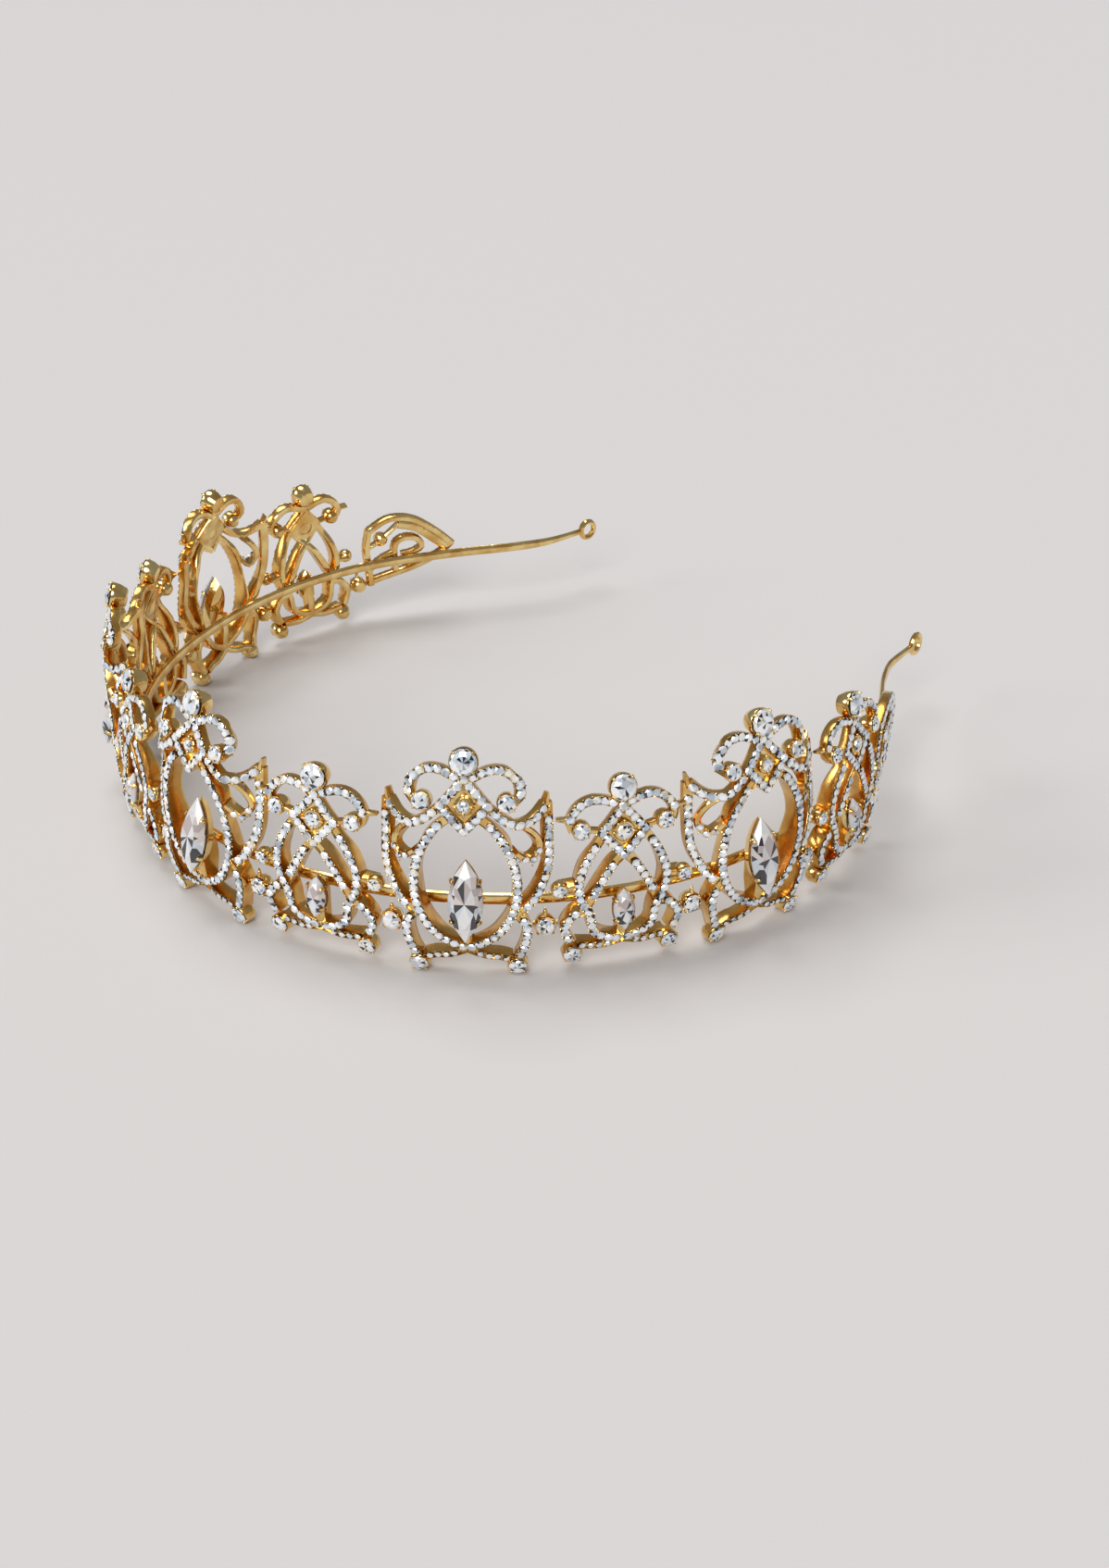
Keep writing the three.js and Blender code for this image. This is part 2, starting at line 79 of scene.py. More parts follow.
def even_line(corners, step):
    """Points at an even step along a smooth line through the corners."""
    corners = [Vector(corner).to_3d() for corner in corners]
    dense = []
    for i in range(len(corners) - 1):
        before = corners[max(i - 1, 0)]
        start, end = corners[i], corners[i + 1]
        after = corners[min(i + 2, len(corners) - 1)]
        pull_start = start + (end - before) / 6
        pull_end = end - (after - start) / 6
        dense += interpolate_bezier(start, pull_start, pull_end, end, 24)[:-1]
    dense.append(corners[-1])
    lengths = [0.0]
    for a, b in zip(dense, dense[1:]):
        lengths.append(lengths[-1] + (b - a).length)
    count = max(1, round(lengths[-1] / step))
    line, i = [], 0
    for k in range(count + 1):
        wanted = lengths[-1] * k / count
        while i < len(dense) - 2 and lengths[i + 1] < wanted:
            i += 1
        share = (wanted - lengths[i]) / max(lengths[i + 1] - lengths[i], 1e-9)
        line.append(dense[i].lerp(dense[i + 1], share))
    return line


def sweep(shape, section, stations):
    """Extrudes a closed section from station to station, and closes both ends."""
    ring = [shape.verts.new(stations[0] @ Vector(point)) for point in section]
    edges = [shape.edges.new((ring[i - 1], ring[i])) for i in range(len(ring))]
    shape.faces.new(ring)
    for before, here in zip(stations, stations[1:]):
        grown = bmesh.ops.extrude_edge_only(shape, edges=edges)["geom"]
        corners = [item for item in grown if isinstance(item, bmesh.types.BMVert)]
        edges = [item for item in grown
                 if isinstance(item, bmesh.types.BMEdge) and item.is_boundary]
        bmesh.ops.transform(shape, matrix=here @ before.inverted(), verts=corners)
    bmesh.ops.edgeloop_fill(shape, edges=edges)


def turned(profile, segments, closed=False):
    """A shell turned round the Z axis from a profile of (radius, height)."""
    shape = bmesh.new()
    corners = [shape.verts.new((radius, 0, height)) for radius, height in profile]
    edges = [shape.edges.new(pair) for pair in zip(corners, corners[1:])]
    if closed:
        edges.append(shape.edges.new((corners[-1], corners[0])))
    bmesh.ops.spin(shape, geom=corners + edges, axis=(0, 0, 1), cent=(0, 0, 0),
                   angle=2 * math.pi, steps=segments, use_merge=True)
    bmesh.ops.remove_doubles(shape, verts=shape.verts, dist=1e-4)
    bmesh.ops.recalc_face_normals(shape, faces=shape.faces)
    return shape


def add(whole, part, place=Matrix.Identity(4)):
    """Adds a copy of one shape to another, at a place."""
    copy = bpy.data.meshes.new("copy")
    part.to_mesh(copy)
    copy.transform(place)
    whole.from_mesh(copy)
    bpy.data.meshes.remove(copy)


def piece(name, shape, materials, stands_for, sharp=35):
    """Makes the finished object from a shape in millimetres."""
    bmesh.ops.scale(shape, vec=(0.001, 0.001, 0.001), verts=shape.verts)
    bmesh.ops.recalc_face_normals(shape, faces=shape.faces)
    mesh = bpy.data.meshes.new(name)
    shape.to_mesh(mesh)
    shape.free()
    for material in materials:
        mesh.materials.append(material)
    mesh.shade_smooth()
    mesh.set_sharp_from_angle(angle=math.radians(sharp))
    made = bpy.data.objects.new(name, mesh)
    bpy.context.scene.collection.objects.link(made)
    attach(made, "root")
    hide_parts(stands_for)
    return made


def node(tree, kind, **settings):
    made = tree.nodes.new(kind)
    for key, value in settings.items():
        setattr(made, key, value)
    return made


def gilt_surface():
    """Polished gilding: a little deeper in tone in patches, with soft waves and fine rubbing marks."""
    group = bpy.data.node_groups.new("gilt surface", "ShaderNodeTree")
    for name, kind in (("Pale", "NodeSocketColor"), ("Deep", "NodeSocketColor"),
                       ("Wave Size", "NodeSocketFloat"), ("Wave Depth", "NodeSocketFloat"),
                       ("Polish", "NodeSocketFloat")):
        group.interface.new_socket(name, in_out="INPUT", socket_type=kind)
    for name, kind in (("Color", "NodeSocketColor"), ("Roughness", "NodeSocketFloat"),
                       ("Normal", "NodeSocketVector")):
        group.interface.new_socket(name, in_out="OUTPUT", socket_type=kind)
    given = node(group, "NodeGroupInput")
    put = node(group, "NodeGroupOutput")
    where = node(group, "ShaderNodeTexCoord")
    link = group.links.new

    patches = node(group, "ShaderNodeTexNoise")
    patches.inputs["Scale"].default_value = 260
    patches.inputs["Detail"].default_value = 3
    link(where.outputs["Object"], patches.inputs["Vector"])
    spread = node(group, "ShaderNodeMapRange")
    spread.inputs["From Min"].default_value = 0.38
    spread.inputs["From Max"].default_value = 0.66
    link(patches.outputs["Fac"], spread.inputs["Value"])
    tone = node(group, "ShaderNodeMix", data_type="RGBA")
    link(spread.outputs["Result"], tone.inputs["Factor"])
    link(given.outputs["Pale"], tone.inputs["A"])
    link(given.outputs["Deep"], tone.inputs["B"])
    link(tone.outputs["Result"], put.inputs["Color"])

    rubbing = node(group, "ShaderNodeTexNoise")
    rubbing.inputs["Scale"].default_value = 2600
    rubbing.inputs["Detail"].default_value = 4
    link(where.outputs["Object"], rubbing.inputs["Vector"])
    dull = node(group, "ShaderNodeMath", operation="MULTIPLY_ADD")
    link(rubbing.outputs["Fac"], dull.inputs[0])
    dull.inputs[1].default_value = 0.13
    link(given.outputs["Polish"], dull.inputs[2])
    link(dull.outputs["Value"], put.inputs["Roughness"])

    waves = node(group, "ShaderNodeTexNoise")
    waves.inputs["Detail"].default_value = 2
    link(where.outputs["Object"], waves.inputs["Vector"])
    link(given.outputs["Wave Size"], waves.inputs["Scale"])
    bump = node(group, "ShaderNodeBump")
    bump.inputs["Strength"].default_value = 0.55
    link(given.outputs["Wave Depth"], bump.inputs["Distance"])
    link(waves.outputs["Fac"], bump.inputs["Height"])
    link(bump.outputs["Normal"], put.inputs["Normal"])
    return group


def gilt(name, surface, pale, deep, wave_size, wave_depth, polish):
    material = bpy.data.materials.new(name)
    material.use_nodes = True
    tree = material.node_tree
    shader = tree.nodes["Principled BSDF"]
    shader.inputs["Metallic"].default_value = 1.0
    skin = node(tree, "ShaderNodeGroup", node_tree=surface)
    skin.inputs["Pale"].default_value = pale
    skin.inputs["Deep"].default_value = deep
    skin.inputs["Wave Size"].default_value = wave_size
    skin.inputs["Wave Depth"].default_value = wave_depth
    skin.inputs["Polish"].default_value = polish
    tree.links.new(skin.outputs["Color"], shader.inputs["Base Color"])
    tree.links.new(skin.outputs["Roughness"], shader.inputs["Roughness"])
    tree.links.new(skin.outputs["Normal"], shader.inputs["Normal"])
    return material


surface = gilt_surface()
gilt_pale = (0.92, 0.70, 0.31, 1)
gilt_deep = (0.70, 0.41, 0.11, 1)
band_gilt = gilt("polished gilt strip", surface, gilt_pale, gilt_deep, 330, 0.00012, 0.08)


def band_rise(turn):
    return band_tail_rise * smoothstep(abs(turn), last_angle * 0.5, last_angle)


def band_line():
    """(turn, distance from the middle) along the whole strip, from one ring to the other."""
    middle = [(last_angle * (2 * i / (band_middle_count - 1) - 1), band_radius)
              for i in range(band_middle_count)]
    tail = [(last_angle + point.x / band_radius, band_radius + point.y)
            for point in even_line(tail_run, 0.9)[1:]]
    return [(-turn, radius) for turn, radius in reversed(tail)] + middle + tail


def headband():
    shape = bmesh.new()
    places = [Vector((radius * math.sin(turn), ring_centre_y - radius * math.cos(turn),
                      band_level + band_rise(turn))) for turn, radius in band_line()]
    reaches = [radius - band_radius for turn, radius in band_line()]
    half, thick = band_height / 2, band_thickness / 2
    section = [(-thick, 0, 0), (-thick * 0.88, -half * 0.5, 0), (-thick * 0.5, -half * 0.9, 0), (0, -half, 0),
               (thick * 0.6, -half * 0.85, 0), (thick * 0.9, -half * 0.5, 0), (thick, 0, 0),
               (thick * 0.9, half * 0.5, 0), (thick * 0.6, half * 0.85, 0), (0, half, 0),
               (-thick * 0.5, half * 0.9, 0), (-thick * 0.88, half * 0.5, 0)]
    stations = []
    for i, place in enumerate(places):
        along = (places[min(i + 1, len(places) - 1)] - places[max(i - 1, 0)]).normalized()
        outward = along.cross(Vector((0, 0, 1))).normalized()
        up = outward.cross(along) * -1
        turned_to = Matrix((outward, up, along)).transposed().to_4x4()
        narrowed = 1 - (1 - tail_neck / band_height) * smoothstep(reaches[i], 2, 12)
        stations.append(Matrix.Translation(place) @ turned_to @ Matrix.Diagonal((1, narrowed, 1, 1)))
    sweep(shape, section, stations)

    wire = [(eyelet_middle + eyelet_wire * math.cos(math.radians(45 * k)),
             eyelet_wire * math.sin(math.radians(45 * k))) for k in range(8)]
    ring = turned(wire, 40, closed=True)
    for end, before in ((places[-1], places[-2]), (places[0], places[1])):
        heading = math.atan2(end.y - before.y, end.x - before.x)
        place = (Matrix.Translation(end) @ Matrix.Rotation(heading, 4, "Z")
                 @ Matrix.Translation((eyelet_middle, 0, 0)) @ Matrix.Rotation(math.pi / 2, 4, "X"))
        add(shape, ring, place)
    return shape


piece("gilt_band", headband(), [band_gilt], "headband")


# ---- The crested castings ----
# Openwork ribs of cast gilt brass, as deep as they are wide or more, curved round the band and
# soldered to it. Each rib's front is a shallow channel that holds one row of small round stones, with
# two grains of metal raised between each stone and the next to hold them.

drawn_pitch = 24.75
tall_height = 38.9
short_height = 33.1
rib_width = 1.5
fine_width = 0.9
rib_depth = 2.8
band_zone = 3
band_blend = 4
thinnest = 1.7
crest_below = 13
crest_blend = 4
rib_step = 0.75
row_pitch = 1.42
row_stone_radius = 0.75
row_stone_lift = 0.1
grain_radius = 0.16
grain_aside = 0.62
scroll_stone_radius = 1.35
side_stone_radius = 1.15
drop_stone_radius = 1.5
cup_wall = 0.35
back_zone = -5.0
back_plane = -10.0

casting_gilt = gilt("polished gilt casting", surface, gilt_pale, gilt_deep, 480, 0.00026, 0.10)
# The upright walls of the ribs are a little rougher, and their deeper, more orange colour is painted shade.
shaded_side_gilt = gilt("rougher side of the casting with painted shade", surface, (0.84, 0.51, 0.15, 1), (0.60, 0.30, 0.06, 1),
                 420, 0.00012, 0.15)

tall_bulge = [(1, 0.7), (5, 1.7), (9, 2.2), (28, 2.3), (32, 1.7), (35, 0.6), (37.5, 0), (40, -0.6)]
short_bulge = [(2, 0.5), (6, 1.2), (9, 1.5), (23, 1.5), (27, 1.0), (30, 0.2), (34, -0.4)]


def tall_relief(x, y):
    out = min(max((abs(x) - 8) / 5, 0), 1)
    up = min(max((y - 8) / 18, 0), 1)
    return table_value(tall_bulge, y) - 3.4 * out * up


def short_relief(x, y):
    return table_value(short_bulge, y)


def flat(x):
    return 0.0


# A flat casting is drawn with x along the front, y up and z = 0 on its front. Depths down to
# back_zone are measured from the front, and the others from the back, which lies at back_plane. The
# depth runs square to the front: back to the band at its height, less elsewhere, least in the crest.
def bend(shape, angle, relief, crest_from=math.inf, band_out=flat):
    for corner in shape.verts:
        x, y, z = corner.co
        proud = relief(x, y)
        across = (relief(x + 1, y) - relief(x - 1, y)) / 2
        up = min(0.0, (relief(x, y + 1) - relief(x, y - 1)) / 2)
        full = max(proud + back_set - band_out(x), thinnest)
        away = min(max((abs(y - band_level) - band_zone) / band_blend, 0), 1)
        usual = full + (min(full, rib_depth) - full) * away
        depth = usual + (thinnest - usual) * min(max((y - crest_from) / crest_blend, 0), 1)
        inward = (z if z > back_zone else z - back_plane - depth) / math.hypot(1, across, up)
        turn = angle + (x - across * inward) / face_radius
        radius = face_radius + proud + inward
        corner.co = (radius * math.sin(turn), ring_centre_y - radius * math.cos(turn), y - up * inward)


def channel_section(width):
    half = width / 2
    right = [(half * 0.35, back_plane), (half * 0.75, back_plane + 0.1), (half, back_plane + 0.45),
             (half, -0.06), (half * 0.97, 0.02), (half * 0.93, 0.02), (half * 0.88, -0.28)]
    left = [(-x, z) for x, z in reversed(right)]
    return [(x, 0, z) for x, z in right + left]


def solid_section(width):
    half = width / 2
    right = [(half * 0.4, back_plane), (half, back_plane + 0.3), (half, -0.35), (half * 0.55, -0.02)]
    left = [(-x, z) for x, z in reversed(right)]
    return [(x, 0, z) for x, z in right + left]


def lie_along(line, widths):
    stations = []
    for i, place in enumerate(line):
        along = line[min(i + 1, len(line) - 1)] - line[max(i - 1, 0)]
        heading = math.atan2(along.y, along.x) - math.pi / 2
        stations.append(Matrix.Translation((place.x, place.y, 0)) @ Matrix.Rotation(heading, 4, "Z")
                        @ Matrix.Diagonal((widths(i / (len(line) - 1)), 1, 1, 1)))
    return stations


def channel_rib(shape, corners, width=rib_width):
    sweep(shape, channel_section(width), lie_along(even_line(corners, rib_step), lambda share: 1))


def solid_rib(shape, corners, width=fine_width, tip=1.0):
    line = even_line(corners, rib_step)
    sweep(shape, solid_section(width), lie_along(line, lambda share: 1 + (tip - 1) * share))


# A closed cup for one round stone: its back is domed, its rim is under the stone's edge, and four
# claws stand round it.
def stone_cup(radius, depth, lift=0.25):
    wall = radius + 0.16
    cup = turned([(0, -depth), (wall * 0.5, -depth), (wall * 0.82, -depth + 0.35), (radius + cup_wall * 0.8, -depth * 0.5),
                  (wall, lift - 0.12), (wall - 0.06, lift - 0.04), (radius * 0.97, lift - 0.04), (radius * 0.9, -0.2),
                  (0, -0.3)], 20)
    claw = bmesh.new()
    bmesh.ops.create_icosphere(claw, subdivisions=2, radius=0.24)
    for k in range(4):
        place = (Matrix.Rotation(math.radians(45 + 90 * k), 4, "Z")
                 @ Matrix.Translation((radius * 1.0, 0, lift + 0.14))
                 @ Matrix.Diagonal((1.0, 0.85, 1.3, 1)))
        add(cup, claw, place)
    claw.free()
    return cup


# A round stone of radius 1. Its rings of facets are turned half a step from one to the next, and the
# table is divided as the back facets show through it.
def round_stone(sides, culet, levels, plain_table=False):
    shape = turned([(0, culet)] + levels + [(0, levels[-1][1])], sides)
    for level, (radius, height) in enumerate(levels):
        if level % 2:
            ring = [corner for corner in shape.verts
                    if abs(corner.co.z - height) < 1e-4 and corner.co.to_2d().length > 0.01]
            bmesh.ops.rotate(shape, verts=ring, cent=(0, 0, 0),
                             matrix=Matrix.Rotation(math.pi / sides, 3, "Z"))
    if plain_table:
        bmesh.ops.dissolve_faces(shape, faces=[face for face in shape.faces if face.normal.z > 0.99])
    else:
        bmesh.ops.triangulate(shape, faces=[face for face in shape.faces if len(face.verts) == 4])
    bmesh.ops.recalc_face_normals(shape, faces=shape.faces)
    return shape


small_stone = round_stone(8, -0.4, [(0.96, -0.35), (1.0, 0.14), (0.62, 0.44)], plain_table=True)
large_stone = round_stone(10, -0.4, [(0.97, -0.3), (1.0, 0.08), (0.84, 0.26), (0.5, 0.4)])
grain = bmesh.new()
bmesh.ops.create_icosphere(grain, subdivisions=1, radius=grain_radius)


class Setting:
    """The stones of one flat casting, and the metal that holds them."""

    def __init__(self):
        self.metal = bmesh.new()
        self.stones = bmesh.new()
        self.taken = []

    def free_at(self, x, y, room):
        return all((x - a) ** 2 + (y - b) ** 2 > (room * 0.7 + c) ** 2 for a, b, c in self.taken)

    def row(self, corners, start=0.0, end=0.0, radius=row_stone_radius):
        """A row of small stones along a rib, leaving out its first and last stretch."""
        line = even_line(corners, 0.1)
        length = (len(line) - 1) * 0.1
        count = max(1, round((length - start - end) / row_pitch))
        spots = [start + (length - start - end) * (k + 0.5) / count for k in range(count)]
        for k, spot in enumerate(spots):
            i = min(len(line) - 2, int(spot / length * (len(line) - 1)))
            place = line[i]
            if not self.free_at(place.x, place.y, radius):
                continue
            self.taken.append((place.x, place.y, radius))
            along = (line[i + 1] - line[max(i - 1, 0)]).normalized()
            spin = Matrix.Rotation(0.4 * k, 4, "Z")
            add(self.stones, small_stone, Matrix.Translation((place.x, place.y, row_stone_lift))
                @ spin @ Matrix.Scale(radius, 4))
            for side in (-1, 1):
                beside = place + along * row_pitch / 2 + Vector((-along.y, along.x, 0)) * side * grain_aside
                add(self.metal, grain, Matrix.Translation((beside.x, beside.y, 0.05)))

    def boss(self, x, y, radius, across, up):
        """The plate that fills a diamond, a raised ring on it for one stone, a point on each side of the
        ring, and a low dome on the back."""
        self.taken.append((x, y, radius + 0.35))
        plate = bmesh.new()
        bmesh.ops.create_cone(plate, cap_ends=True, segments=4, radius1=1, radius2=1, depth=1.2)
        add(self.metal, plate, Matrix.Translation((x, y, -1.2)) @ Matrix.Diagonal((across, up, 1, 1)))
        plate.free()
        dome = turned([(0, -2.3), (radius * 0.8, -2.2), (radius * 1.35, -1.95), (radius * 1.6, -1.6), (0, -1.6)], 20)
        add(self.metal, dome, Matrix.Translation((x, y, 0)))
        dome.free()
        ring = turned([(radius * 0.5, -0.7), (radius + 0.5, -0.7), (radius + 0.42, 0.05), (radius + 0.28, 0.2),
                       (radius * 0.98, 0.2), (radius * 0.9, -0.2), (0, -0.3), (0, -0.7)], 20)
        add(self.metal, ring, Matrix.Translation((x, y, 0)))
        ring.free()
        point = bmesh.new()
        bmesh.ops.create_icosphere(point, subdivisions=2, radius=0.3)
        for k in range(4):
            spread = Matrix.Rotation(math.radians(90 * k), 4, "Z")
            add(self.metal, point, Matrix.Translation((x, y, 0.25)) @ spread
                @ Matrix.Translation((radius + 0.28, 0, 0)) @ Matrix.Diagonal((1.7, 0.9, 1, 1)))
        point.free()
        add(self.stones, large_stone, Matrix.Translation((x, y, 0.2)) @ Matrix.Scale(radius, 4))

    def cup(self, x, y, radius, depth=2.6, lift=0.25):
        """A larger round stone in a cup of its own."""
        self.taken.append((x, y, radius + 0.25))
        add(self.metal, stone_cup(radius, depth, lift), Matrix.Translation((x, y, 0)))
        add(self.stones, large_stone, Matrix.Translation((x, y, lift + 0.02)) @ Matrix.Scale(radius, 4))


def mirror(corners):
    return [(-x, y) for x, y in corners]


def both(build, corners, *rest, **more):
    build(corners, *rest, **more)
    build(mirror(corners), *rest, **more)


def cut_glass():
    """Small foil-backed stones: the tone of each facet is a painted reflection, bright or dark, under a clear coat.
    """
    material = bpy.data.materials.new("foil-backed cut glass")
    material.use_nodes = True
    tree = material.node_tree
    shader = tree.nodes["Principled BSDF"]
    shader.inputs["Metallic"].default_value = 0.35
    shader.inputs["Roughness"].default_value = 0.12
    shader.inputs["Coat Weight"].default_value = 1.0
    shader.inputs["Coat Roughness"].default_value = 0.02
    shader.inputs["Coat IOR"].default_value = 1.6
    tone = node(tree, "ShaderNodeAttribute", attribute_name="tone")
    where = node(tree, "ShaderNodeTexCoord")
    cells = node(tree, "ShaderNodeTexVoronoi")
    cells.inputs["Scale"].default_value = 640
    tree.links.new(where.outputs["Object"], cells.inputs["Vector"])
    shades = node(tree, "ShaderNodeValToRGB")
    shades.color_ramp.interpolation = "CONSTANT"
    for at, color in ((0, (1, 1, 1, 1)), (0.5, (0.84, 0.9, 0.96, 1)), (0.62, (0.96, 0.89, 0.74, 1)),
                      (0.7, (0.66, 0.69, 0.72, 1)), (0.8, (1, 1, 1, 1))):
        stop = shades.color_ramp.elements.new(at) if at else shades.color_ramp.elements[0]
        stop.color = color
    shades.color_ramp.elements.remove(shades.color_ramp.elements[-1])
    tree.links.new(cells.outputs["Color"], shades.inputs["Fac"])
    shaded = node(tree, "ShaderNodeMix", data_type="RGBA", blend_type="MULTIPLY")
    shaded.inputs["Factor"].default_value = 1.0
    tree.links.new(tone.outputs["Color"], shaded.inputs["A"])
    tree.links.new(shades.outputs["Color"], shaded.inputs["B"])
    tree.links.new(shaded.outputs["Result"], shader.inputs["Base Color"])
    return material


small_glass = cut_glass()
# The facet tones are painted reflections, bright or dark, and the tone of the sides is painted shade.
facet_painted_reflections = [(0.98, 0.98, 0.98), (0.98, 0.98, 0.98), (0.95, 0.97, 0.99), (0.95, 0.97, 0.99),
               (0.8, 0.87, 0.94), (0.95, 0.9, 0.8), (0.45, 0.5, 0.56), (0.02, 0.02, 0.03)]
table_painted_reflections = [(0.98, 0.98, 0.98), (0.98, 0.98, 0.98), (0.93, 0.95, 0.98), (0.82, 0.88, 0.94), (0.55, 0.6, 0.66)]
painted_side_shade = (0.1, 0.07, 0.04)


def tint_facets(shape, chance):
    """Gives each facet a painted reflection: painted shade on the sides, mostly bright painted reflections on the
    crown and the table.
    """
    layer = shape.loops.layers.float_color.new("tone")
    shape.normal_update()
    for face in shape.faces:
        if len(face.verts) > 4:
            tone = chance.choice(table_painted_reflections)
        elif face.normal.z < 0.3:
            tone = painted_side_shade
        else:
            tone = chance.choice(facet_painted_reflections)
        for loop in face.loops:
            loop[layer] = (*tone, 1)


def tall_casting():
    work = Setting()
    metal = work.metal
    scroll = [(0.6, 35.8), (3.5, 37.2), (5.6, 37.4), (7.3, 36.6), (8.6, 34.9), (8.6, 33.2), (7.2, 32.3)]
    upper_leaf = [(3.9, 31.5), (6.5, 29.3), (9.6, 28.5), (11.6, 29.3), (12.9, 30.6)]
    outer_leaf = [(13.0, 30.6), (13.1, 25.1), (12.8, 19.6), (10.6, 14.8), (7.8, 12.2)]
    curl = [(9.0, 28.2), (10.9, 26.0), (11.8, 23.6), (10.2, 21.7), (7.9, 23.6)]
    oval = [(2.3, 29.9), (4.6, 27.8), (7.0, 23.2), (8.0, 17.6), (7.2, 12.4), (4.4, 8.0), (0, 5.5)]
    foot = [(7.6, 12.6), (9.1, 10.7), (9.5, 8.6), (9.0, 6.0), (8.0, 3.2)]
    base = [(6.9, 3.05), (5.2, 3.7), (3.0, 4.0), (0, 5.3)]
    side = [(0, 35.9), (3.7, 31.8)]
    lower_side = [(3.7, 31.8), (0, 27.7)]

    def ribs(corners, **more):
        channel_rib(metal, corners, **more)

    def solids(corners, **more):
        solid_rib(metal, corners, **more)

    work.boss(0, 31.8, 1.0, 3.7, 4.1)
    for mirrored in (1, -1):
        work.cup(6.5 * mirrored, 32.4, scroll_stone_radius, lift=0.35)
        work.cup(7.9 * mirrored, drop_stone_radius + cup_wall, drop_stone_radius, depth=2.4, lift=0.5)
    for corners in (side, lower_side, scroll, oval, outer_leaf, upper_leaf, foot, base):
        both(ribs, corners)
    work.row([(0, 35.9), (0, 36.0)])
    work.row([(0, 27.7), (0, 27.8)])
    for corners in (side, lower_side):
        both(work.row, corners, 0.75, -0.7)
    both(work.row, scroll, 0.4, 0.0)
    both(work.row, oval, 0.2, 0.0)
    both(work.row, upper_leaf, 0.6, 0.2)
    both(work.row, outer_leaf, -0.6, 0.2)
    both(work.row, foot, 0.3, 0.3)
    both(work.row, base, 0.3, 0.2, radius=0.55)
    both(solids, [(12.9, 30.2), (13.2, 32.2)], tip=0.35, width=1.1)
    both(solids, curl, width=1.0)
    both(work.row, curl[2:], 0.0, 1.2, radius=0.55)
    ribs([(0, 39.0), (0, 35.4)])
    solids([(0, 5.5), (0, 13.6)], width=1.6)
    return work


def mark_sides(metal):
    """Gives the upright walls of the ribs the second material, which is rougher and carries painted shade."""
    metal.normal_update()
    for face in metal.faces:
        if abs(face.normal.z) < 0.02:
            face.material_index = 1


def at_crest(index):
    return index * step_angle


def side_name(index):
    return "C" if index == 0 else ("L" if index < 0 else "R") + str(abs(index))


def place_casting(work, index, relief, kind, crest):
    name = side_name(index)
    metal, stones = work.metal.copy(), work.stones.copy()
    mark_sides(metal)
    tint_facets(stones, random.Random(100 + index))
    for shape in (metal, stones):
        bend(shape, at_crest(index), relief, crest - crest_below)
    piece(f"{kind}_casting_{name}", metal, [casting_gilt, shaded_side_gilt],
          f"{kind}_motif_{name}")
    piece(f"{kind}_stones_{name}", stones, [small_glass], f"{kind}_motif_{name}", sharp=5)


tall_work = tall_casting()
for index in (-4, -2, 0, 2, 4):
    place_casting(tall_work, index, tall_relief, "tall", tall_height)


# ---- The short castings ----
# The same kind of casting between the tall ones, with shoulders that lean on the neighbours' leaves,
# a horseshoe over a small crystal, and a stone on a short arm each side.

def short_casting():
    work = Setting()
    metal = work.metal
    scroll = [(0.6, 30.1), (3.2, 31.0), (5.2, 31.1), (7.2, 30.1), (8.5, 28.2), (8.0, 26.4)]
    tie = [(8.3, 28.2), (10.6, 28.4)]
    leg = [(3.4, 25.2), (5.7, 21.5), (7.1, 17.3), (6.8, 13.9), (5.4, 11.0), (4.8, 7.8), (2.8, 6.2), (0, 5.5)]
    horseshoe = [(0.2, 21.6), (1.9, 19.7), (3.9, 16.3), (5.9, 12.4)]
    arm = [(6.8, 16.4), (10.2, 16.0)]
    foot = [(5.4, 11.6), (7.8, 11.2), (9.4, 8.6), (8.4, 5.6)]
    base = [(7.5, 5.0), (5.2, 4.7), (3.0, 4.6), (0, 5.3)]
    side = [(0, 29.8), (3.6, 25.7)]
    lower_side = [(3.6, 25.7), (0, 21.6)]

    def ribs(corners, **more):
        channel_rib(metal, corners, **more)

    def solids(corners, **more):
        solid_rib(metal, corners, **more)

    work.boss(0, 25.7, 1.3, 3.6, 4.1)
    for mirrored in (1, -1):
        work.cup(6.8 * mirrored, 26.5, scroll_stone_radius, lift=0.35)
        work.cup(10.2 * mirrored, 16.0, side_stone_radius, depth=2.0, lift=0.3)
        work.cup(8.1 * mirrored, 3.4, drop_stone_radius, depth=2.4, lift=0.5)
    for corners in (side, lower_side, scroll, leg, horseshoe, foot, base):
        both(ribs, corners)
    both(solids, tie, width=1.1, tip=0.5)
    both(solids, arm)
    both(solids, [(6.8, 26.5), (3.6, 25.9)])
    work.row([(0, 29.8), (0, 29.9)])
    work.row([(0, 21.6), (0, 21.7)])
    for corners in (side, lower_side):
        both(work.row, corners, 0.75, -0.7)
    both(work.row, scroll, 0.4, 0.0)
    both(work.row, leg, 0.2, 0.2)
    both(work.row, horseshoe, 0.4, 0.2)
    both(work.row, arm, 0.9, 1.6, radius=0.5)
    both(work.row, foot, 0.3, 0.3)
    both(work.row, base, 0.3, 0.2, radius=0.55)
    ribs([(0, 33.2), (0, 29.3)])
    solids([(0, 5.5), (0, 12.4)], width=1.6)
    return work


short_work = short_casting()
for index in (-5, -3, -1, 1, 3, 5):
    place_casting(short_work, index, short_relief, "short", short_height)


# ---- The end leaves ----
# A curled leaf of the same cast gilt brass closes the row on each side. It bends out with the
# band's tail, and its tip points towards the eyelet.

